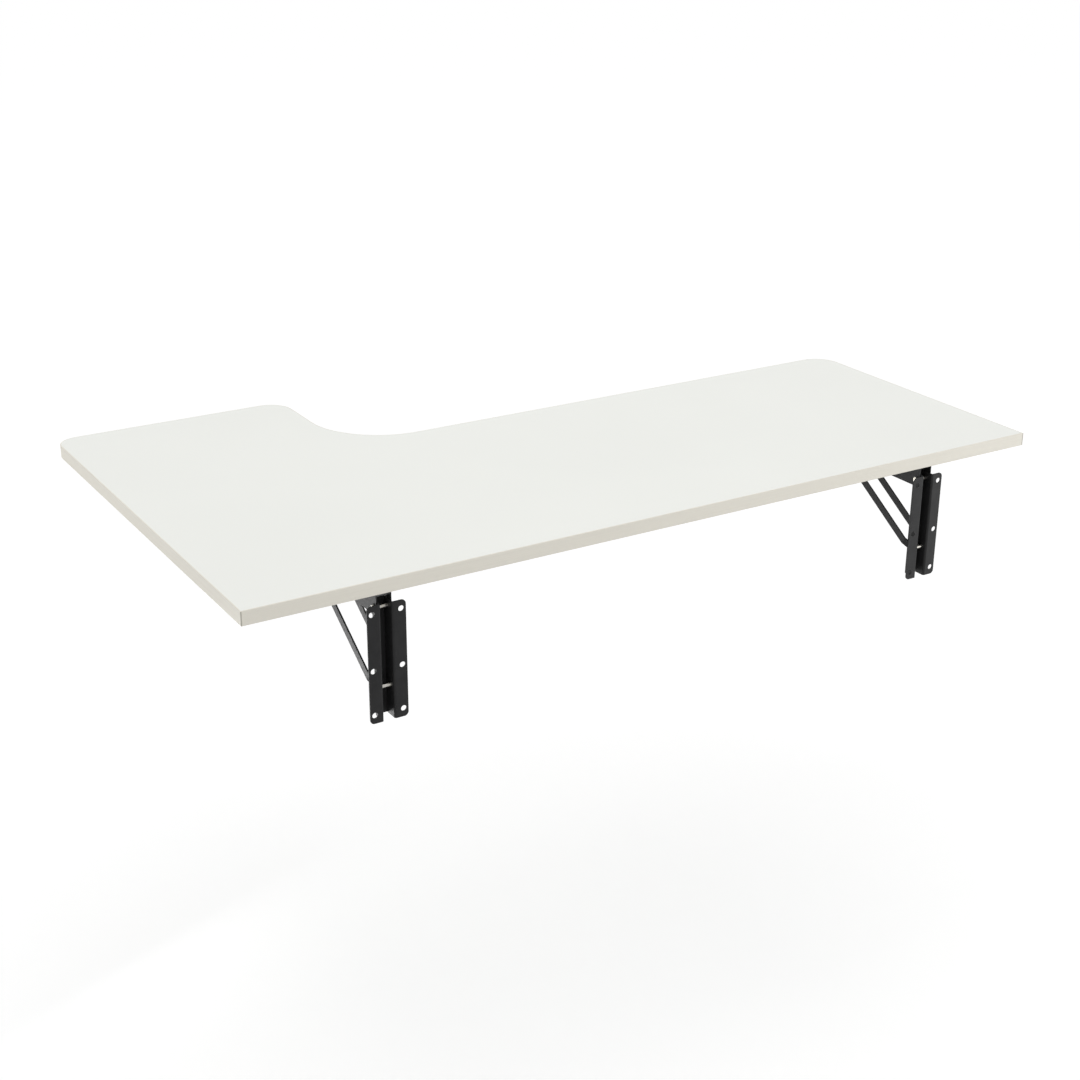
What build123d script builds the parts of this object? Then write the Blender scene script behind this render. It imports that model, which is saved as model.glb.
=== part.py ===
"""Wall-hung folding desk: an L-shaped laminated top on two folding steel brackets.

The row frame is +X along the wall, +Y away from it and +Z up. The origin is the centre of the
wall screw pattern, on the wall's face. "Left" is the -X bracket. Sizes are in millimetres.
"""

import os
from math import atan2, degrees, hypot

from build123d import *

# Desk top
top_length = 1600.0
main_depth = 600.0
wing_depth = 900.0
wing_width = 460.0
panel_thickness = 25.0
laminate_thickness = 0.8
band_thickness = 2.0
band_arris = 1.2
rear_gap = 2.0
inner_corner_radius = 150.0
main_corner_radius = 50.0
wing_inner_radius = 48.0
wing_outer_radius = 40.0

# Wall channel, one folded sheet with two flanges
bracket_spacing = 1122.0
plate_height = 204.0
plate_width = 68.0
plate_sheet = 2.0
channel_depth = 30.0
bend_radius = 4.0
flange_corner_radius = 7.5
wall_hole_diameter = 10.0
wall_hole_edge = 8.5
wall_hole_end = 14.5
middle_hole_drop = 97.5

# Support arm, a plain U channel screwed under the top
plate_to_top_gap = 16.0
arm_width = 27.0
arm_depth = 40.0
arm_sheet = 1.5
arm_bend_radius = 3.0
arm_rear_overhang = 8.5
arm_overrun = 40.0
arm_corner_radius = 8.0

# Pins
pin_diameter = 7.0
pin_head_lip = 2.0
pin_head_height = 2.0
pin_head_taper = 20.0
pin_chamfer = 0.5
pivot_depth = 17.0
pivot_drop = 11.0
brace_pin_drop = 147.0
washer_thickness = 1.0
washer_lip = 3.5
spacer_wall = 1.0

# Brace, two flat bars that jog in towards the wall channel at the foot
bar_width = 14.0
bar_thickness = 3.0
bar_to_arm_gap = 5.8
jog_start = 8.0
jog_length = 13.0
jog_bend_radius = 6.0
stud_collar_wall = 1.5

# Slider that carries the brace's upper end along the arm
slot_rise = 5.0
slider_reach = 209.0
block_length = 28.0
block_height = 14.0
block_corner_radius = 2.0

# Catch spring that locks the slider at rest
spring_thickness = 0.8
spring_width = 12.0
spring_fixed_length = 45.0
spring_free_length = 60.0
spring_tip_rise = 3.0
spring_bend_radius = 12.0
rivet_diameter = 4.0
rivet_head_diameter = 7.0
rivet_head_height = 1.5
rivet_end_distance = 10.0
rivet_spacing = 24.0

# Wood screws that hold the arm to the top
screw_diameter = 4.5
screw_depth = 17.0
screw_tip = 3.0
screw_head_diameter = 9.0
screw_head_height = 2.8
screw_cross_width = 1.2
screw_cross_length = 5.0
screw_cross_depth = 1.4
screw_end_distance = 22.0
screw_pair_distance = 80.0

# Clearances
running_clearance = 0.05
slot_clearance = 0.3
face_clearance = 0.1
arm_side_clearance = 0.5
stub_clearance = 0.3
bar_to_flange_room = 2.5
folded_arm_clearance = 1.0
pilot_extra_depth = 1.0
screw_hole_clearance = 0.25
match_tolerance = 0.001

# Places that follow from the sizes above
plate_top = plate_height / 2
underside_z = plate_top + plate_to_top_gap
top_z = underside_z + panel_thickness
arm_bottom = underside_z - arm_depth
web_underside = underside_z - arm_sheet
arm_inner_half = arm_width / 2 - arm_sheet
channel_width = 2 * (arm_inner_half - arm_side_clearance)
channel_inner_half = channel_width / 2 - plate_sheet
pin_head_diameter = pin_diameter + 2 * pin_head_lip
washer_diameter = pin_diameter + 2 * washer_lip
spacer_diameter = pin_diameter + 2 * spacer_wall
stud_collar_diameter = pin_diameter + 2 * stud_collar_wall

# The arm turns on the pivot, and the brace pin leaves room for the bars to fold
pivot_y = pivot_depth
pivot_z = plate_top - pivot_drop
arm_rear = pivot_y - arm_rear_overhang
brace_pin_y = plate_sheet + bar_width / 2 + bar_to_flange_room
brace_pin_z = plate_top - brace_pin_drop
slot_z = pivot_z + slot_rise
slider_y = pivot_y + slider_reach
block_front = slider_y + block_length / 2
brace_length = hypot(slider_y - brace_pin_y, slot_z - brace_pin_z)
brace_slope = degrees(atan2(slot_z - brace_pin_z, slider_y - brace_pin_y))

# Folded, the arm hangs down from the pivot and its notch straddles the brace pin
arm_notch_y = pivot_y + pivot_z - brace_pin_z
arm_notch_z = pivot_z + brace_pin_y - pivot_y
arm_notch_radius = spacer_diameter / 2 + folded_arm_clearance
folded_slot_y = pivot_y + slot_rise
folded_drop = (brace_length**2 - (folded_slot_y - brace_pin_y) ** 2) ** 0.5
folded_reach = pivot_z - brace_pin_z + folded_drop
slide_travel = folded_reach - slider_reach

spring_tip_y = block_front + arm_side_clearance
spring_bend_y = spring_tip_y + spring_free_length
spring_end_y = spring_bend_y + spring_fixed_length
spring_z = web_underside - spring_thickness / 2
rivet_places = [spring_end_y - rivet_end_distance - k * rivet_spacing for k in (0, 1)]
arm_end = pivot_y + folded_reach + arm_overrun
screw_places = [
    pivot_y + screw_end_distance,
    pivot_y + screw_end_distance + screw_pair_distance,
    arm_end - screw_end_distance - screw_pair_distance / 2,
    arm_end - screw_end_distance,
]

# Inner and outer faces of the bars at the foot and above the jog, measured from the bracket's middle
bar_foot_inner = arm_width / 2 + arm_side_clearance
bar_foot_outer = bar_foot_inner + bar_thickness
bar_inner = arm_width / 2 + bar_to_arm_gap
bar_outer = bar_inner + bar_thickness

bracket_places = {"left": -bracket_spacing / 2, "right": bracket_spacing / 2}
wall_hole_x = plate_width / 2 - wall_hole_edge
wall_hole_z = plate_height / 2 - wall_hole_end
wall_hole_points = [
    (column * wall_hole_x, height)
    for column in (-1, 1)
    for height in (wall_hole_z, wall_hole_z - middle_hole_drop, -wall_hole_z)
]


def wall_view(x, y=0.0):
    """Plane seen from the wall side: local X along the wall, local Y up, facing the wall."""
    return Plane((x, y, 0), x_dir=(1, 0, 0), z_dir=(0, -1, 0))


def side_view(x):
    """Plane seen from the right end: local X away from the wall, local Y up."""
    return Plane.YZ.offset(x)


def save(part, name):
    """Label a finished piece and write it as its own file."""
    part.label = name
    export_step(part, f"parts/{name}.step")


def at_flange_edge(edge):
    """True for an edge on the outer side of a wall channel's flange."""
    offsets = [abs(abs(edge.center().X - x) - plate_width / 2) for x in bracket_places.values()]
    return min(offsets) < match_tolerance


def corners(sketch, x, y):
    """The vertices of a sketch at (x, y) and mirrored to (-x, y), in the sketch's own axes."""
    return [
        vertex
        for vertex in sketch.vertices()
        if abs(abs(vertex.X) - x) < match_tolerance and abs(vertex.Y - y) < match_tolerance
    ]


# Outline of the top with its edge band, and of the board inside the band
half_length = top_length / 2
wing_inner_x = -half_length + wing_width

with BuildSketch() as outline:
    with BuildLine():
        Polyline(
            (-half_length, rear_gap),
            (half_length, rear_gap),
            (half_length, main_depth),
            (wing_inner_x, main_depth),
            (wing_inner_x, wing_depth),
            (-half_length, wing_depth),
            close=True,
        )
    make_face()
    corner_radii = {
        (half_length, main_depth): main_corner_radius,
        (wing_inner_x, main_depth): inner_corner_radius,
        (wing_inner_x, wing_depth): wing_inner_radius,
        (-half_length, wing_depth): wing_outer_radius,
    }
    for (corner_x, corner_y), radius in corner_radii.items():
        corner = outline.vertices().sort_by_distance((corner_x, corner_y, 0))[0]
        fillet(corner, radius=radius)

with BuildSketch() as board_outline:
    add(outline.sketch)
    offset(amount=-band_thickness, mode=Mode.REPLACE)


def all_screw_points():
    """Every arm screw's place in plan."""
    return [(x, y) for x in bracket_places.values() for y in screw_places]


def make_panel_core():
    """Chipboard core with the pilot holes of the arm screws."""
    with BuildPart() as core:
        with BuildSketch(Plane.XY.offset(underside_z + laminate_thickness)):
            add(board_outline.sketch)
        extrude(amount=panel_thickness - 2 * laminate_thickness)
        with BuildSketch(Plane.XY.offset(underside_z)):
            with Locations(*all_screw_points()):
                Circle(screw_diameter / 2 + running_clearance)
        extrude(amount=screw_depth + pilot_extra_depth, mode=Mode.SUBTRACT)
    return core.part


def make_top_laminate():
    """Thin decorative sheet on the core's upper face."""
    with BuildPart() as laminate:
        with BuildSketch(Plane.XY.offset(top_z - laminate_thickness)):
            add(board_outline.sketch)
        extrude(amount=laminate_thickness)
    return laminate.part


def make_underside_laminate():
    """Balancing sheet on the core's lower face, pierced by the arm screws."""
    with BuildPart() as laminate:
        with BuildSketch(Plane.XY.offset(underside_z)):
            add(board_outline.sketch)
            with Locations(*all_screw_points()):
                Circle(screw_diameter / 2 + running_clearance, mode=Mode.SUBTRACT)
        extrude(amount=laminate_thickness)
    return laminate.part


def make_edge_band(rear):
    """Edge band with eased arrises: the rear strip, or the rest of the contour."""
    with BuildPart() as band:
        with BuildSketch(Plane.XY.offset(underside_z)):
            add(outline.sketch)
        extrude(amount=panel_thickness)
        rims = band.edges().group_by(Axis.Z)
        fillet(rims[0] + rims[-1], radius=band_arris)
        with BuildSketch(Plane.XY.offset(underside_z)):
            add(board_outline.sketch)
        extrude(amount=panel_thickness, mode=Mode.SUBTRACT)
        with BuildSketch(Plane.XY.offset(underside_z)):
            with Locations((0, rear_gap + band_thickness / 2)):
                Rectangle(top_length - 2 * band_thickness, band_thickness)
        extrude(amount=panel_thickness, mode=Mode.INTERSECT if rear else Mode.SUBTRACT)
    return band.part


def make_wall_channel(x):
    """Hat-section channel with screw holes in its flanges and bores for the two cross pins."""
    with BuildPart() as channel:
        with BuildSketch(Plane((x, 0, -plate_height / 2))) as section:
            half_plate = plate_width / 2
            half_channel = channel_width / 2
            web_inside = channel_depth - plate_sheet
            with BuildLine():
                Polyline(
                    (-half_plate, 0),
                    (-channel_inner_half, 0),
                    (-channel_inner_half, web_inside),
                    (channel_inner_half, web_inside),
                    (channel_inner_half, 0),
                    (half_plate, 0),
                    (half_plate, plate_sheet),
                    (half_channel, plate_sheet),
                    (half_channel, channel_depth),
                    (-half_channel, channel_depth),
                    (-half_channel, plate_sheet),
                    (-half_plate, plate_sheet),
                    close=True,
                )
            make_face()
            shape = section.sketch_local
            outer_bends = corners(shape, channel_inner_half, 0)
            outer_bends += corners(shape, half_channel, channel_depth)
            inner_bends = corners(shape, half_channel, plate_sheet)
            inner_bends += corners(shape, channel_inner_half, web_inside)
            fillet(outer_bends, radius=bend_radius)
            fillet(inner_bends, radius=bend_radius - plate_sheet)
        extrude(amount=plate_height)
        flange_corners = channel.edges().filter_by(Axis.Y).filter_by(at_flange_edge)
        fillet(flange_corners, radius=flange_corner_radius)
        with BuildSketch(wall_view(x)):
            with Locations(*wall_hole_points):
                Circle(wall_hole_diameter / 2)
        extrude(amount=-plate_sheet, mode=Mode.SUBTRACT)
        with BuildSketch(side_view(x)):
            with Locations((pivot_y, pivot_z), (brace_pin_y, brace_pin_z)):
                Circle(pin_diameter / 2 + running_clearance)
        extrude(amount=channel_width, both=True, mode=Mode.SUBTRACT)
    return channel.part


def add_pin_heads(x, start, y, z):
    """Domed heads at both ends of a cross pin, added to the part being built."""
    for sign in (-1, 1):
        with BuildSketch(Plane((x + sign * start, y, z), z_dir=(sign, 0, 0))) as head:
            Circle(pin_head_diameter / 2)
        extrude(head.sketch, amount=pin_head_height, taper=pin_head_taper)


def make_pivot_pin(x):
    """Riveted pin that the arm swings on, with a head outside each washer."""
    head_start = arm_width / 2 + washer_thickness + 2 * face_clearance
    with BuildPart() as pin:
        with BuildSketch(side_view(x)):
            with Locations((pivot_y, pivot_z)):
                Circle(pin_diameter / 2)
        extrude(amount=head_start, both=True)
        add_pin_heads(x, head_start, pivot_y, pivot_z)
    return pin.part


def make_pivot_washers(x):
    """Pair of plain washers between the arm and the pin's heads."""
    with BuildPart() as washers:
        for start in (arm_width / 2 + face_clearance, -arm_width / 2 - face_clearance - washer_thickness):
            with BuildSketch(side_view(x + start)):
                with Locations((pivot_y, pivot_z)):
                    Circle(washer_diameter / 2)
                    Circle(pin_diameter / 2 + running_clearance, mode=Mode.SUBTRACT)
            extrude(amount=washer_thickness)
    return washers.part


def make_brace_pin(x):
    """Cross pin through the wall channel that the two brace bars turn on."""
    head_start = bar_foot_outer + face_clearance
    with BuildPart() as pin:
        with BuildSketch(side_view(x)):
            with Locations((brace_pin_y, brace_pin_z)):
                Circle(pin_diameter / 2)
        extrude(amount=head_start, both=True)
        add_pin_heads(x, head_start, brace_pin_y, brace_pin_z)
    return pin.part


def make_brace_spacers(x):
    """Pair of short tubes that keep the brace bars clear of the wall channel."""
    length = bar_foot_inner - channel_width / 2 - 2 * face_clearance
    with BuildPart() as spacers:
        for start in (channel_width / 2 + face_clearance, -channel_width / 2 - face_clearance - length):
            with BuildSketch(side_view(x + start)):
                with Locations((brace_pin_y, brace_pin_z)):
                    Circle(spacer_diameter / 2)
                    Circle(pin_diameter / 2 + running_clearance, mode=Mode.SUBTRACT)
            extrude(amount=length)
    return spacers.part


def make_brace_bar(x, sign):
    """Flat bar with rounded ends that jogs in at its foot, bored for the brace pin and for its stud."""
    run = Vector(0, slider_y - brace_pin_y, slot_z - brace_pin_z)
    strip_plane = Plane((x, brace_pin_y, brace_pin_z), x_dir=run, z_dir=run.cross(Vector(1, 0, 0)))
    foot_offset = sign * (bar_foot_inner + bar_thickness / 2)
    bar_offset = sign * (bar_inner + bar_thickness / 2)
    with BuildPart() as bar:
        with BuildSketch(strip_plane):
            with BuildLine():
                FilletPolyline(
                    (-bar_width, foot_offset),
                    (jog_start, foot_offset),
                    (jog_start + jog_length, bar_offset),
                    (brace_length + bar_width, bar_offset),
                    radius=jog_bend_radius,
                )
            trace(line_width=bar_thickness)
        extrude(amount=bar_width, both=True)
        with BuildSketch(side_view(x)):
            with Locations(((slider_y + brace_pin_y) / 2, (slot_z + brace_pin_z) / 2)):
                SlotCenterToCenter(brace_length, bar_width, rotation=brace_slope)
        extrude(amount=2 * bar_outer, both=True, mode=Mode.INTERSECT)
        with BuildSketch(side_view(x)):
            with Locations((brace_pin_y, brace_pin_z), (slider_y, slot_z)):
                Circle(pin_diameter / 2 + running_clearance)
        extrude(amount=2 * bar_outer, both=True, mode=Mode.SUBTRACT)
    return bar.part


def make_brace_studs(x):
    """Pair of studs riveted in the bars' upper ends; their collars stop just short of the arm."""
    collar_start = arm_width / 2 + stub_clearance
    head_start = bar_outer + face_clearance
    with BuildPart() as studs:
        for sign in (-1, 1):
            inner_end = Plane((x + sign * collar_start, slider_y, slot_z), z_dir=(sign, 0, 0))
            with BuildSketch(inner_end):
                Circle(stud_collar_diameter / 2)
            extrude(amount=bar_inner - face_clearance - collar_start)
            with BuildSketch(inner_end):
                Circle(pin_diameter / 2)
            extrude(amount=head_start - collar_start)
        add_pin_heads(x, head_start, slider_y, slot_z)
    return studs.part


def make_arm(x):
    """U channel under the top, slotted for the slider and notched to fold over the brace pin."""
    with BuildPart() as arm:
        with BuildSketch(wall_view(x, arm_rear)) as section:
            half_arm = arm_width / 2
            with BuildLine():
                Polyline(
                    (-half_arm, arm_bottom),
                    (-half_arm, underside_z),
                    (half_arm, underside_z),
                    (half_arm, arm_bottom),
                    (arm_inner_half, arm_bottom),
                    (arm_inner_half, web_underside),
                    (-arm_inner_half, web_underside),
                    (-arm_inner_half, arm_bottom),
                    close=True,
                )
            make_face()
            shape = section.sketch_local
            fillet(corners(shape, half_arm, underside_z), radius=arm_bend_radius)
            fillet(corners(shape, arm_inner_half, web_underside), radius=arm_bend_radius - arm_sheet)
        extrude(amount=arm_rear - arm_end)
        lower_corners = arm.edges().filter_by(Axis.X).group_by(Axis.Z)[0]
        fillet(lower_corners, radius=arm_corner_radius)
        with BuildSketch(side_view(x)):
            with Locations((slider_y + slide_travel / 2, slot_z)):
                SlotCenterToCenter(slide_travel, pin_diameter + 2 * slot_clearance)
            with Locations((pivot_y, pivot_z)):
                Circle(pin_diameter / 2 + running_clearance)
            with Locations((arm_notch_y, arm_notch_z)):
                Circle(arm_notch_radius)
                Rectangle(2 * arm_notch_radius, arm_depth, align=(Align.CENTER, Align.MAX))
        extrude(amount=arm_width, both=True, mode=Mode.SUBTRACT)
        with BuildSketch(Plane.XY.offset(web_underside)):
            with Locations(*[(x, y) for y in screw_places]):
                Circle(screw_diameter / 2 + screw_hole_clearance)
            with Locations(*[(x, y) for y in rivet_places]):
                Circle(rivet_diameter / 2 + running_clearance)
        extrude(amount=arm_sheet, mode=Mode.SUBTRACT)
    return arm.part


def make_arm_screws(x):
    """Wood screws from inside the arm into the top, with a cross recess in each head."""
    with BuildPart() as screws:
        for screw_y in screw_places:
            screw_top = underside_z + screw_depth
            head_bottom = web_underside - screw_head_height
            with BuildSketch(wall_view(x, screw_y)):
                with BuildLine():
                    Polyline(
                        (0, head_bottom),
                        (screw_head_diameter / 2 - screw_head_height / 2, head_bottom),
                        (screw_head_diameter / 2, web_underside - screw_head_height / 2),
                        (screw_head_diameter / 2, web_underside),
                        (screw_diameter / 2, web_underside),
                        (screw_diameter / 2, screw_top - screw_tip),
                        (0, screw_top),
                        close=True,
                    )
                make_face()
            revolve(axis=Axis((x, screw_y, 0), (0, 0, 1)))
            with BuildSketch(Plane((x, screw_y, head_bottom))):
                Rectangle(screw_cross_length, screw_cross_width)
                Rectangle(screw_cross_width, screw_cross_length)
            extrude(amount=screw_cross_depth, mode=Mode.SUBTRACT)
    return screws.part


def make_slider_block(x):
    """Block that runs inside the arm, bored for the slider's pin."""
    with BuildPart() as block:
        with BuildSketch(side_view(x)):
            with Locations((slider_y, slot_z)):
                RectangleRounded(block_length, block_height, block_corner_radius)
                Circle(pin_diameter / 2 + running_clearance, mode=Mode.SUBTRACT)
        extrude(amount=arm_inner_half - arm_side_clearance, both=True)
    return block.part


def make_slider_pin(x):
    """Pin through the block and both slots, flush with the arm's outer faces."""
    with BuildPart() as pin:
        with BuildSketch(side_view(x)):
            with Locations((slider_y, slot_z)):
                Circle(pin_diameter / 2)
        extrude(amount=arm_width / 2 - face_clearance, both=True)
        chamfer(pin.edges().filter_by(GeomType.CIRCLE), length=pin_chamfer)
    return pin.part


def make_catch_spring(x):
    """Leaf riveted under the arm's web; its free tip stands in front of the slider block."""
    with BuildPart() as spring:
        with BuildLine(side_view(x)) as route:
            FilletPolyline(
                (spring_end_y, spring_z),
                (spring_bend_y, spring_z),
                (spring_tip_y, slot_z + spring_tip_rise),
                radius=spring_bend_radius,
            )
        with BuildSketch(wall_view(x, spring_end_y)):
            with Locations((0, spring_z)):
                Rectangle(spring_width, spring_thickness)
        sweep()
        with BuildSketch(Plane.XY.offset(web_underside - spring_thickness)):
            with Locations(*[(x, y) for y in rivet_places]):
                Circle(rivet_diameter / 2 + running_clearance)
        extrude(amount=spring_thickness, mode=Mode.SUBTRACT)
    return spring.part


def make_catch_rivets(x):
    """Rivets that hold the catch spring, flush with the arm's upper face."""
    with BuildPart() as rivets:
        head_top = web_underside - spring_thickness
        for rivet_y in rivet_places:
            with BuildSketch(Plane((x, rivet_y, head_top))):
                Circle(rivet_diameter / 2)
            extrude(amount=spring_thickness + arm_sheet)
            with BuildSketch(Plane((x, rivet_y, head_top), z_dir=(0, 0, -1))):
                Circle(rivet_head_diameter / 2)
            extrude(amount=rivet_head_height, taper=pin_head_taper)
    return rivets.part


bracket_pieces = {
    "wall_channel": make_wall_channel,
    "pivot_pin": make_pivot_pin,
    "pivot_washers": make_pivot_washers,
    "brace_pin": make_brace_pin,
    "brace_spacers": make_brace_spacers,
    "brace_studs": make_brace_studs,
    "arm": make_arm,
    "arm_screws": make_arm_screws,
    "slider_block": make_slider_block,
    "slider_pin": make_slider_pin,
    "catch_spring": make_catch_spring,
    "catch_rivets": make_catch_rivets,
}

if __name__ == "__main__":
    os.makedirs("parts", exist_ok=True)
    save(make_panel_core(), "panel_core")
    save(make_top_laminate(), "top_laminate")
    save(make_underside_laminate(), "underside_laminate")
    save(make_edge_band(rear=False), "contour_edge_band")
    save(make_edge_band(rear=True), "rear_edge_band")
    for bracket, bracket_x in bracket_places.items():
        for piece, make_piece in bracket_pieces.items():
            save(make_piece(bracket_x), f"{bracket}_{piece}")
        for bar_side, sign in (("left", -1), ("right", 1)):
            save(make_brace_bar(bracket_x, sign), f"{bracket}_brace_{bar_side}_bar")
    print("slider travel", round(slide_travel, 3), "brace length", round(brace_length, 3))
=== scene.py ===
"""Finishes, stage and camera for the wall-hung folding corner desk."""

import bpy
from mathutils import Matrix, Vector


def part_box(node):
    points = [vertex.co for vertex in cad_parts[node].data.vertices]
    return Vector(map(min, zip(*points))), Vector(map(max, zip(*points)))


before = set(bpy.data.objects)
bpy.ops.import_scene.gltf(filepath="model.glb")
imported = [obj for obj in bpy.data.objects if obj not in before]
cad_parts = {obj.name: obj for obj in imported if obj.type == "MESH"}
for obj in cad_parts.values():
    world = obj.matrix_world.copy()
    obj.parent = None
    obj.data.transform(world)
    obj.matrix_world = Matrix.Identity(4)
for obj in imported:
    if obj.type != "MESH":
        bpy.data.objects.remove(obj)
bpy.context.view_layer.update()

bl_info = {
    "name": "Wall Desk Finishes",
    "version": (1, 0, 0),
    "blender": (4, 5, 0),
    "location": "View3D > Sidebar > Wall Desk",
    "description": "Finishes the folding wall desk and sets its studio stage",
    "category": "Object",
}

BRACKETS = ("left", "right")
REAR_BAND_LOW, REAR_BAND_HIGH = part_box("rear_edge_band")

# Depth in metres of the skin that counts as the cut end of the edge band
BAND_END_SKIN = 0.0001
# Lines of the edge band to the metre along X, Y and Z
BAND_LINES = (4.0, 4.0, 700.0)
# Level of the darker spots of the pale finishes
PALE_SHADE = 0.965
# Range that most of a noise texture's values lie in
NOISE_LOW = 0.3
NOISE_HIGH = 0.7
# Cosine of the normal's turn where an edge starts to count, and where it counts in full
FLAT_COSINE = 0.98
SHARP_COSINE = 0.8
# Width of the camera's sensor in millimetres
SENSOR_WIDTH = 36.0
WHITE = (1.0, 1.0, 1.0)


# Settings that a user would change
def colour_property(label, words, default):
    """Colour setting, in linear red, green and blue."""
    return bpy.props.FloatVectorProperty(
        name=label, description=words, subtype="COLOR", size=3, min=0.0, max=1.0, default=default
    )


def share_property(label, words, default):
    """Setting between 0 and 1."""
    return bpy.props.FloatProperty(
        name=label, description=words, subtype="FACTOR", min=0.0, max=1.0, default=default
    )


def length_property(label, words, default):
    """Length setting, in metres."""
    return bpy.props.FloatProperty(
        name=label, description=words, unit="LENGTH", precision=5, default=default
    )


def place_property(label, words, default):
    """Place setting, in metres along X, Y and Z."""
    return bpy.props.FloatVectorProperty(
        name=label, description=words, subtype="XYZ", unit="LENGTH", size=3, default=default
    )


def power_property(label, words, default):
    """Lamp power setting, in watts."""
    return bpy.props.FloatProperty(
        name=label, description=words, subtype="POWER", min=0.0, default=default
    )


class DeskFinishSettings(bpy.types.PropertyGroup):
    """Colours, roughness and texture sizes of the desk's finishes."""

    laminate_colour: colour_property("Laminate", "Off-white of the board's faces", (0.82, 0.83, 0.79))
    laminate_roughness: share_property("Laminate roughness", "Satin of the board's faces", 0.42)
    laminate_pearl: length_property("Laminate pearl", "Size of the pressed texture's bumps", 0.0011)
    laminate_cloud: length_property("Laminate clouds", "Size of the faint clouds on the faces", 0.35)
    # The edge band's off-white is partly its own colour; its beige tint is a painted warm reflection
    band_colour: colour_property("Edge band", "Off-white of the edge band", (0.76, 0.732, 0.655))
    band_roughness: share_property("Band roughness", "Satin of the edge band", 0.45)
    band_end_colour: colour_property("Band end", "Band's cut end at the rear corners", (0.43, 0.415, 0.36))
    chip_dark_colour: colour_property("Dark chips", "Darkest brown of the core's chips", (0.46, 0.33, 0.19))
    chip_pale_colour: colour_property("Pale chips", "Palest brown of the core's chips", (0.66, 0.52, 0.34))
    chip_roughness: share_property("Chip roughness", "Matt surface of the board's core", 0.85)
    chip_size: length_property("Chip size", "Length of the chips in the board's core", 0.004)
    coat_colour: colour_property("Powder coat", "Black of the brackets", (0.0175, 0.0175, 0.018))
    coat_wear_colour: colour_property("Coat wear", "Rubbed coat along sheet edges", (0.048, 0.048, 0.049))
    coat_roughness: share_property("Coat roughness", "Satin of the powder coat", 0.42)
    coat_peel: length_property("Coat peel", "Size of the powder coat's orange peel", 0.0012)
    coat_dust: length_property("Coat dust", "Size of the powder coat's dusty patches", 0.03)
    coat_edge: length_property("Coat edge", "Width of the rubbed edges", 0.0006)
    zinc_colour: colour_property("Zinc", "Bright zinc of pins, screws and rivets", (0.45, 0.44, 0.42))
    zinc_tint_colour: colour_property("Zinc tint", "Warm passivation tint on the zinc", (0.41, 0.39, 0.335))
    zinc_roughness: share_property("Zinc roughness", "Shine of the zinc", 0.3)
    zinc_patch: length_property("Zinc patches", "Size of the tint's patches", 0.006)
    zinc_mark: length_property("Zinc marks", "Spacing of the turning marks", 0.0009)
    nylon_colour: colour_property("Nylon", "Black of the slide blocks and spacers", (0.016, 0.016, 0.017))
    nylon_roughness: share_property("Nylon roughness", "Matt surface of the nylon", 0.55)
    nylon_grain: length_property("Nylon grain", "Size of the mould's eroded grain", 0.0006)
    spring_colour: colour_property("Spring steel", "Blued grey of the catch springs", (0.30, 0.32, 0.36))
    spring_roughness: share_property("Spring roughness", "Shine of the spring steel", 0.35)
    spring_scratch: length_property("Spring scratches", "Width of the rolling scratches", 0.0004)


class DeskStageSettings(bpy.types.PropertyGroup):
    """Camera, lights and floor of the studio."""

    camera_place: place_property("Camera", "Camera position", (-1.677, -2.284, 1.248))
    aim_place: place_property("Aim", "Point at the picture's centre", (-0.4233, -0.2313, 0.2608))
    camera_roll: bpy.props.FloatProperty(
        name="Roll", description="Turn of the camera about its view line", subtype="ANGLE", default=0.00443
    )
    lens: bpy.props.FloatProperty(
        name="Lens", description="Focal length of the camera", unit="CAMERA", default=59.67
    )
    floor_colour: colour_property("Floor colour", "Pale grey of the floor", (0.8, 0.8, 0.8))
    floor_half: length_property("Floor half", "Half the side of the square floor", 20.0)
    floor_drop: length_property("Floor", "Height of the floor below the wall screws' centre", 0.95)
    near_lift: share_property("Near floor lift", "Glow of the floor round the desk to the eye", 0.27)
    far_lift: share_property("Far floor lift", "Glow of the floor far from the desk to the eye", 0.44)
    near_reach: length_property("Near reach", "Distance from the origin where the glow starts to rise", 1.5)
    far_reach: length_property("Far reach", "Distance from the origin where the glow is full", 5.0)
    sky_light: share_property("Sky light", "Level of the soft light from all round", 0.7)
    key_power: power_property("Key light", "Power of the large lamp above", 58.0)
    right_power: power_property("Low right light", "Power of the low lamp at the right", 7.5)
    rear_power: power_property("Low rear light", "Power of the low lamp beyond the wing", 4.5)
    left_power: power_property("Left light", "Power of the broad lamp beyond the left end", 8.0)
    wall_side_power: power_property("Wall side light", "Power of the broad lamp on the wall side", 30.0)


# Shader building
def add_node(tree, kind, inputs=None, **settings):
    """New shader node with its options set and its inputs given a value or linked to a socket."""
    made = tree.nodes.new(kind)
    for option, value in settings.items():
        setattr(made, option, value)
    for socket, value in (inputs or {}).items():
        if isinstance(value, bpy.types.NodeSocket):
            tree.links.new(value, made.inputs[socket])
        else:
            made.inputs[socket].default_value = value
    return made


def opaque(colour):
    """A colour with full alpha."""
    return (*colour, 1.0)


def scaled(colour, factor):
    """A colour made lighter or darker."""
    return tuple(factor * channel for channel in colour)


def new_finish(name, roughness, metallic=0.0, specular=0.5):
    """New material with its shader's constant sockets set; returns the material, its tree and its shader."""
    material = bpy.data.materials.new(name)
    material.use_nodes = True
    tree = material.node_tree
    shader = tree.nodes["Principled BSDF"]
    shader.inputs["Roughness"].default_value = roughness
    shader.inputs["Metallic"].default_value = metallic
    shader.inputs["Specular IOR Level"].default_value = specular
    return material, tree, shader


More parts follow.
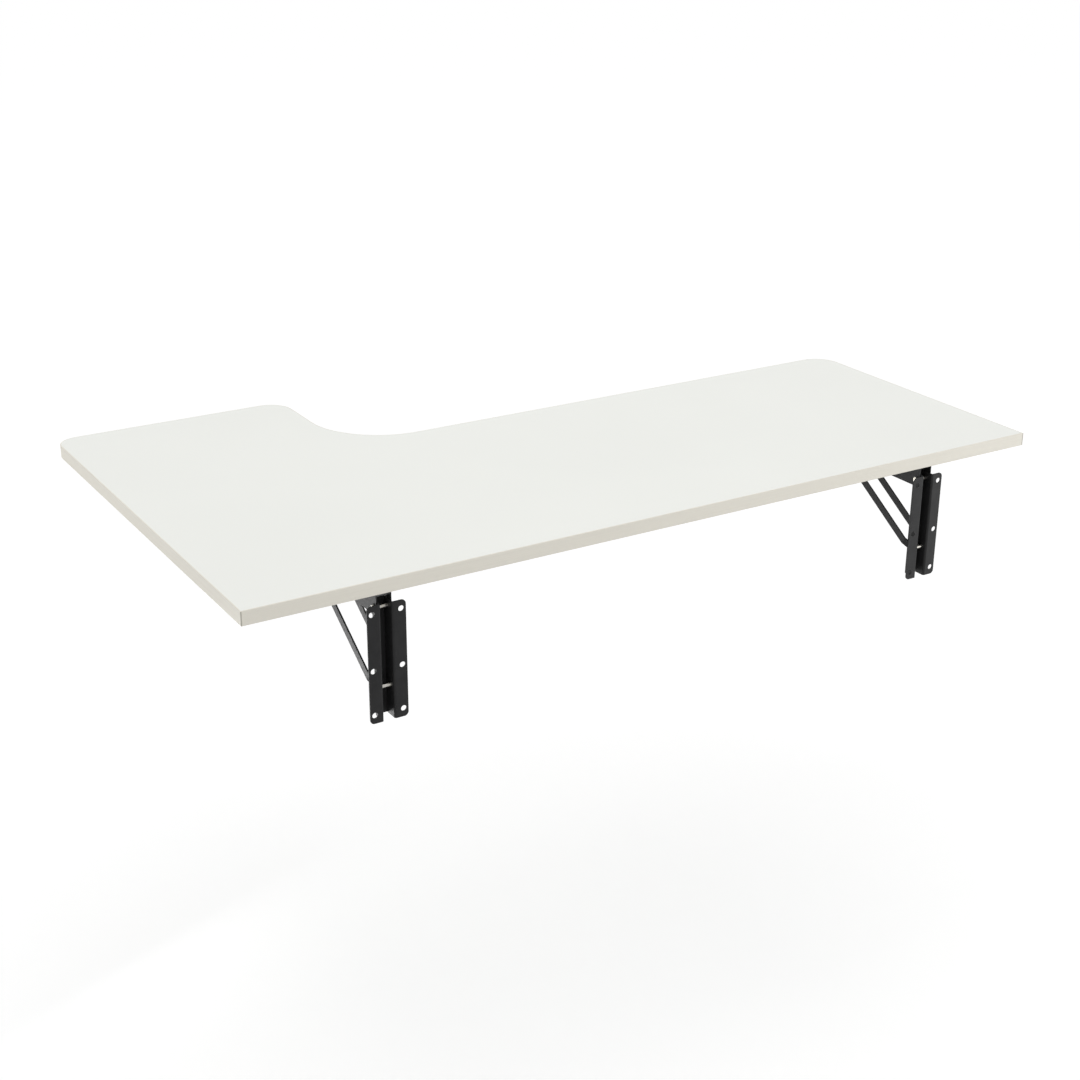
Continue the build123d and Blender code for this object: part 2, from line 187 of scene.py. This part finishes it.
def place_of(tree, stretch=(1.0, 1.0, 1.0)):
    """Texture coordinates in metres in the piece's own frame, stretched along its axes."""
    coordinates = add_node(tree, "ShaderNodeTexCoord")
    mapping = add_node(
        tree, "ShaderNodeMapping", {"Vector": coordinates.outputs["Object"], "Scale": stretch}
    )
    return mapping.outputs["Vector"]


def noise_of(tree, place, size, detail=2.0):
    """Noise whose features are about the given size."""
    noise = add_node(
        tree, "ShaderNodeTexNoise", {"Vector": place, "Scale": 1.0 / size, "Detail": detail}
    )
    return noise.outputs["Fac"]


def combine(tree, operation, first, second=0.0, clamp=False):
    """Result of a sum, a product, a comparison or the like on values or sockets."""
    maths = add_node(tree, "ShaderNodeMath", {0: first, 1: second}, operation=operation, use_clamp=clamp)
    return maths.outputs["Value"]


def remap(tree, value, start, end, low, high):
    """Level that goes from low to high as a value goes from start to end."""
    ranged = add_node(
        tree, "ShaderNodeMapRange",
        {"Value": value, "From Min": start, "From Max": end, "To Min": low, "To Max": high},
    )
    return ranged.outputs["Result"]


def spread(tree, noise, low, high):
    """A noise value spread over low to high."""
    return remap(tree, noise, NOISE_LOW, NOISE_HIGH, low, high)


def blend_colours(tree, share, first, second):
    """Mix of two colours or colour sockets by a share socket."""
    mix = add_node(tree, "ShaderNodeMix", {"Factor": share}, data_type="RGBA")
    colour_inputs = [socket for socket in mix.inputs if socket.type == "RGBA"]
    for socket, value in zip(colour_inputs, (first, second)):
        if isinstance(value, bpy.types.NodeSocket):
            tree.links.new(value, socket)
        else:
            socket.default_value = opaque(value)
    return next(output for output in mix.outputs if output.type == "RGBA")


def edge_mask(tree, radius):
    """Share that rises to 1 on sharp edges, from the turn of the normal across a small radius."""
    bevel = add_node(tree, "ShaderNodeBevel", {"Radius": radius}, samples=4)
    geometry = add_node(tree, "ShaderNodeNewGeometry")
    alike = add_node(
        tree, "ShaderNodeVectorMath", {0: bevel.outputs["Normal"], 1: geometry.outputs["Normal"]},
        operation="DOT_PRODUCT",
    )
    return remap(tree, alike.outputs["Value"], FLAT_COSINE, SHARP_COSINE, low=0.0, high=1.0)


def paint(tree, shader, colour):
    """Give a shader a colour socket as its base colour."""
    tree.links.new(colour, shader.inputs["Base Color"])


def vary_roughness(tree, shader, noise, smoother, rougher):
    """Let a shader's roughness follow a noise, from smoother to rougher than its own level."""
    roughness = shader.inputs["Roughness"]
    level = roughness.default_value
    tree.links.new(spread(tree, noise, level - smoother, level + rougher), roughness)


def add_bump(tree, shader, height, depth, strength):
    """Bump on a shader from a height socket."""
    bump = add_node(tree, "ShaderNodeBump", {"Height": height, "Distance": depth, "Strength": strength})
    tree.links.new(bump.outputs["Normal"], shader.inputs["Normal"])


# Finishes
def laminate_finish(settings):
    """Satin melamine with a fine pressed pearl and faint clouds."""
    material, tree, shader = new_finish("white_melamine", settings.laminate_roughness)
    place = place_of(tree)
    pearl = noise_of(tree, place, settings.laminate_pearl, detail=3.0)
    cloud = spread(tree, noise_of(tree, place, settings.laminate_cloud), low=0.0, high=0.5)
    fleck = spread(tree, pearl, low=0.0, high=0.5)
    tone = combine(tree, "ADD", cloud, fleck)
    shade = scaled(settings.laminate_colour, PALE_SHADE)
    paint(tree, shader, blend_colours(tree, tone, settings.laminate_colour, shade))
    vary_roughness(tree, shader, pearl, smoother=0.05, rougher=0.05)
    add_bump(tree, shader, pearl, depth=0.0001, strength=0.8)
    return material


def band_finish(settings):
    """Extruded edge band with faint lines along it, and a darker cut end at the rear corners."""
    material, tree, shader = new_finish("edge_band_plastic", settings.band_roughness, specular=0.2)
    lines = noise_of(tree, place_of(tree, BAND_LINES), size=1.0)
    # The band colour's beige tint is a painted warm reflection on top of the band's own off-white
    shade = scaled(settings.band_colour, PALE_SHADE)
    body = blend_colours(tree, spread(tree, lines, low=0.0, high=1.0), settings.band_colour, shade)
    place = add_node(tree, "ShaderNodeSeparateXYZ", {"Vector": place_of(tree)})
    on_rear_face = combine(tree, "LESS_THAN", place.outputs["Y"], REAR_BAND_LOW.y + BAND_END_SKIN)
    sideways = combine(tree, "ABSOLUTE", place.outputs["X"])
    past_rear_band = combine(tree, "GREATER_THAN", sideways, REAR_BAND_HIGH.x)
    cut_end = combine(tree, "MULTIPLY", on_rear_face, past_rear_band)
    paint(tree, shader, blend_colours(tree, cut_end, body, settings.band_end_colour))
    vary_roughness(tree, shader, lines, smoother=0.04, rougher=0.06)
    add_bump(tree, shader, lines, depth=0.00004, strength=0.3)
    return material


def chipboard_finish(settings):
    """Raw chipboard: pressed chips of several browns with rough pores."""
    material, tree, shader = new_finish("raw_chipboard", settings.chip_roughness, specular=0.2)
    place = place_of(tree, stretch=(1.0, 0.6, 1.6))
    chips = add_node(tree, "ShaderNodeTexVoronoi", {"Vector": place, "Scale": 1.0 / settings.chip_size})
    tone = add_node(tree, "ShaderNodeSeparateColor", {"Color": chips.outputs["Color"]})
    wood = blend_colours(tree, tone.outputs["Red"], settings.chip_dark_colour, settings.chip_pale_colour)
    paint(tree, shader, wood)
    add_bump(tree, shader, chips.outputs["Distance"], depth=0.0004, strength=0.6)
    return material


def coat_finish(settings):
    """Black satin powder coat with orange peel, rubbed lighter along its edges."""
    material, tree, shader = new_finish("black_powder_coat_satin", settings.coat_roughness, specular=0.13)
    place = place_of(tree)
    peel = noise_of(tree, place, settings.coat_peel)
    dust = spread(tree, noise_of(tree, place, settings.coat_dust, detail=4.0), low=0.0, high=0.25)
    worn = combine(tree, "ADD", edge_mask(tree, settings.coat_edge), dust, clamp=True)
    paint(tree, shader, blend_colours(tree, worn, settings.coat_colour, settings.coat_wear_colour))
    vary_roughness(tree, shader, peel, smoother=0.06, rougher=0.08)
    add_bump(tree, shader, peel, depth=0.0001, strength=0.4)
    return material


def zinc_finish(settings):
    """Bright zinc plate with a patchy warm passivation tint and fine turning marks."""
    material, tree, shader = new_finish("bright_zinc_plate", settings.zinc_roughness, metallic=1.0)
    patches = noise_of(tree, place_of(tree), settings.zinc_patch, detail=3.0)
    tinted = spread(tree, patches, low=0.0, high=1.0)
    paint(tree, shader, blend_colours(tree, tinted, settings.zinc_colour, settings.zinc_tint_colour))
    marks = noise_of(tree, place_of(tree, stretch=(4.0, 1.0, 1.0)), settings.zinc_mark)
    vary_roughness(tree, shader, marks, smoother=0.08, rougher=0.08)
    add_bump(tree, shader, marks, depth=0.00005, strength=0.3)
    return material


def nylon_finish(settings):
    """Moulded black nylon with a fine spark-eroded grain."""
    material, tree, shader = new_finish("black_nylon_moulded", settings.nylon_roughness)
    grain = noise_of(tree, place_of(tree), settings.nylon_grain)
    lighter = scaled(settings.nylon_colour, factor=2.2)
    speckle = spread(tree, grain, low=0.0, high=0.6)
    paint(tree, shader, blend_colours(tree, speckle, settings.nylon_colour, lighter))
    vary_roughness(tree, shader, grain, smoother=0.07, rougher=0.11)
    add_bump(tree, shader, grain, depth=0.00008, strength=0.5)
    return material


def spring_finish(settings):
    """Rolled spring steel, blued, with scratches along the leaf."""
    material, tree, shader = new_finish("blued_spring_steel", settings.spring_roughness, metallic=1.0)
    rolled = noise_of(tree, place_of(tree, stretch=(1.0, 0.03, 1.0)), settings.spring_scratch, detail=3.0)
    deeper = scaled(settings.spring_colour, factor=0.7)
    blued = spread(tree, rolled, low=0.0, high=1.0)
    paint(tree, shader, blend_colours(tree, blued, settings.spring_colour, deeper))
    vary_roughness(tree, shader, rolled, smoother=0.09, rougher=0.13)
    add_bump(tree, shader, rolled, depth=0.00003, strength=0.4)
    return material


# Operators for the desk's pieces
def finish_nodes(names, material):
    """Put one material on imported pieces."""
    for name in names:
        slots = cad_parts[name].data.materials
        slots.clear()
        slots.append(material)


def bracket_nodes(*pieces):
    """Names of these pieces on both brackets."""
    return [f"{bracket}_{piece}" for bracket in BRACKETS for piece in pieces]


class DESK_OT_board_core(bpy.types.Operator):
    """Give the board's core its raw chipboard"""

    bl_idname = "desk.board_core"
    bl_label = "Board core"

    def execute(self, context):
        finish_nodes(["panel_core"], chipboard_finish(context.scene.desk_finish))
        return {"FINISHED"}


class DESK_OT_laminate(bpy.types.Operator):
    """Give the two laminate sheets their satin off-white"""

    bl_idname = "desk.laminate"
    bl_label = "Laminate sheets"

    def execute(self, context):
        finish_nodes(["top_laminate", "underside_laminate"], laminate_finish(context.scene.desk_finish))
        return {"FINISHED"}


class DESK_OT_edge_bands(bpy.types.Operator):
    """Give the edge bands their plastic"""

    bl_idname = "desk.edge_bands"
    bl_label = "Edge bands"

    def execute(self, context):
        finish_nodes(["contour_edge_band", "rear_edge_band"], band_finish(context.scene.desk_finish))
        return {"FINISHED"}


class DESK_OT_brackets(bpy.types.Operator):
    """Powder coat the wall channels, the arms and the brace bars"""

    bl_idname = "desk.brackets"
    bl_label = "Brackets"

    def execute(self, context):
        coated = bracket_nodes("wall_channel", "arm", "brace_left_bar", "brace_right_bar")
        finish_nodes(coated, coat_finish(context.scene.desk_finish))
        return {"FINISHED"}


class DESK_OT_pins(bpy.types.Operator):
    """Zinc plate the pins, studs, screws and rivets"""

    bl_idname = "desk.pins"
    bl_label = "Pins and fasteners"

    def execute(self, context):
        plated = bracket_nodes(
            "pivot_pin", "brace_pin", "slider_pin", "brace_studs", "arm_screws", "catch_rivets"
        )
        finish_nodes(plated, zinc_finish(context.scene.desk_finish))
        return {"FINISHED"}


class DESK_OT_sliders(bpy.types.Operator):
    """Give the slide blocks, spacers and washers their black nylon"""

    bl_idname = "desk.sliders"
    bl_label = "Slide blocks, spacers and washers"

    def execute(self, context):
        moulded = bracket_nodes("slider_block", "brace_spacers", "pivot_washers")
        finish_nodes(moulded, nylon_finish(context.scene.desk_finish))
        return {"FINISHED"}


class DESK_OT_catch_springs(bpy.types.Operator):
    """Blue the catch springs"""

    bl_idname = "desk.catch_springs"
    bl_label = "Catch springs"

    def execute(self, context):
        finish_nodes(bracket_nodes("catch_spring"), spring_finish(context.scene.desk_finish))
        return {"FINISHED"}


# Stage
def link_object(name, data):
    """New object in the scene."""
    made = bpy.data.objects.new(name, data)
    bpy.context.scene.collection.objects.link(made)
    return made


def facing(place, aim):
    """Rotation of a camera or a lamp at a place that looks at a point."""
    return (Vector(aim) - Vector(place)).to_track_quat("-Z", "Y").to_matrix()


def make_camera(settings):
    """Camera at the photograph's place, looking at its centre."""
    camera = link_object("photo_camera", bpy.data.cameras.new("photo_camera"))
    camera.data.lens = settings.lens
    camera.data.sensor_width = SENSOR_WIDTH
    roll = Matrix.Rotation(settings.camera_roll, 3, "Z")
    turn = facing(settings.camera_place, settings.aim_place) @ roll
    camera.matrix_world = Matrix.Translation(settings.camera_place) @ turn.to_4x4()
    bpy.context.scene.camera = camera


def make_area_light(name, place, aim, size, power):
    """Square soft lamp at a place, facing a point, that shows only by its light."""
    lamp = bpy.data.lights.new(name, "AREA")
    lamp.shape = "SQUARE"
    lamp.size = size
    lamp.energy = power
    light = link_object(name, lamp)
    light.visible_camera = False
    light.matrix_world = Matrix.Translation(place) @ facing(place, aim).to_4x4()


def make_lights(settings):
    """Large soft lamp above and weaker ones round the desk, with places and sizes in metres."""
    make_area_light(
        "key_above", place=(0.0, 0.2, 3.6), aim=(0.0, 0.3, 0.1), size=4.5, power=settings.key_power
    )
    make_area_light(
        "low_right", place=(1.9, -1.2, -0.6), aim=(0.45, 0.0, 0.05), size=1.2, power=settings.right_power
    )
    make_area_light(
        "low_rear", place=(-0.9, 1.15, -0.7), aim=(-0.7, 0.6, 0.2), size=0.5, power=settings.rear_power
    )
    make_area_light(
        "broad_left", place=(-3.2, 0.5, 0.0), aim=(-0.8, 0.3, 0.1), size=1.8, power=settings.left_power
    )
    make_area_light(
        "wall_side", place=(3.5, -2.6, 0.0), aim=(0.0, 0.0, 0.1), size=2.5, power=settings.wall_side_power
    )


def seen_rays(tree):
    """Share that is 1 for rays from the camera, a gloss or a glass."""
    rays = add_node(tree, "ShaderNodeLightPath")
    glossy = combine(tree, "MAXIMUM", rays.outputs["Is Camera Ray"], rays.outputs["Is Glossy Ray"])
    return combine(tree, "MAXIMUM", glossy, rays.outputs["Is Transmission Ray"])


def make_world(settings):
    """White surround to the eye, with a softer level for the light that it gives."""
    world = bpy.data.worlds.new("studio_surround")
    world.use_nodes = True
    bpy.context.scene.world = world
    tree = world.node_tree
    background = tree.nodes["Background"]
    background.inputs["Color"].default_value = opaque(WHITE)
    level = remap(tree, seen_rays(tree), start=0.0, end=1.0, low=settings.sky_light, high=1.0)
    tree.links.new(level, background.inputs["Strength"])


def floor_finish(settings):
    """Matt pale floor that glows a little to the eye, and more so away from the desk."""
    material, tree, shader = new_finish("pale_floor", roughness=0.9, specular=0.0)
    shader.inputs["Base Color"].default_value = opaque(settings.floor_colour)
    shader.inputs["Emission Color"].default_value = opaque(WHITE)
    away = add_node(tree, "ShaderNodeVectorMath", {0: place_of(tree)}, operation="LENGTH")
    lift = remap(
        tree, away.outputs["Value"], start=settings.near_reach, end=settings.far_reach,
        low=settings.near_lift, high=settings.far_lift,
    )
    glow = combine(tree, "MULTIPLY", seen_rays(tree), lift)
    tree.links.new(glow, shader.inputs["Emission Strength"])
    return material


def make_floor(settings):
    """Plain pale floor that keeps the desk's faint shadow and runs out into the white surround."""
    half = settings.floor_half
    height = -settings.floor_drop
    corners = [(-half, -half, height), (half, -half, height), (half, half, height), (-half, half, height)]
    mesh = bpy.data.meshes.new("studio_floor")
    mesh.from_pydata(corners, [], [(0, 1, 2, 3)])
    mesh.materials.append(floor_finish(settings))
    floor = link_object("studio_floor", mesh)


class DESK_OT_stage(bpy.types.Operator):
    """Set the camera, the lights, the white surround and the floor"""

    bl_idname = "desk.stage"
    bl_label = "Studio stage"

    def execute(self, context):
        settings = context.scene.desk_stage
        context.scene.view_settings.view_transform = "Standard"
        make_camera(settings)
        make_world(settings)
        make_floor(settings)
        make_lights(settings)
        return {"FINISHED"}


# Panel and registration
OPERATORS = (
    DESK_OT_board_core,
    DESK_OT_laminate,
    DESK_OT_edge_bands,
    DESK_OT_brackets,
    DESK_OT_pins,
    DESK_OT_sliders,
    DESK_OT_catch_springs,
    DESK_OT_stage,
)


class DESK_PT_finishes(bpy.types.Panel):
    """Lists the desk's finishes and its stage"""

    bl_idname = "DESK_PT_finishes"
    bl_label = "Wall Desk"
    bl_space_type = "VIEW_3D"
    bl_region_type = "UI"
    bl_category = "Wall Desk"

    def draw(self, context):
        for operator in OPERATORS:
            self.layout.operator(operator.bl_idname)
        for settings in (context.scene.desk_finish, context.scene.desk_stage):
            column = self.layout.column()
            for name in settings.__annotations__:
                column.prop(settings, name)


CLASSES = (DeskFinishSettings, DeskStageSettings, *OPERATORS, DESK_PT_finishes)


def register():
    """Register the classes and hang the settings on the scene."""
    for entry in CLASSES:
        bpy.utils.register_class(entry)
    bpy.types.Scene.desk_finish = bpy.props.PointerProperty(type=DeskFinishSettings)
    bpy.types.Scene.desk_stage = bpy.props.PointerProperty(type=DeskStageSettings)


def unregister():
    """Undo register."""
    del bpy.types.Scene.desk_stage
    del bpy.types.Scene.desk_finish
    for entry in reversed(CLASSES):
        bpy.utils.unregister_class(entry)


def main():
    """Finish every piece and set the stage."""
    register()
    bpy.ops.desk.board_core()
    bpy.ops.desk.laminate()
    bpy.ops.desk.edge_bands()
    bpy.ops.desk.brackets()
    bpy.ops.desk.pins()
    bpy.ops.desk.sliders()
    bpy.ops.desk.catch_springs()
    bpy.ops.desk.stage()


if __name__ == "__main__":
    main()
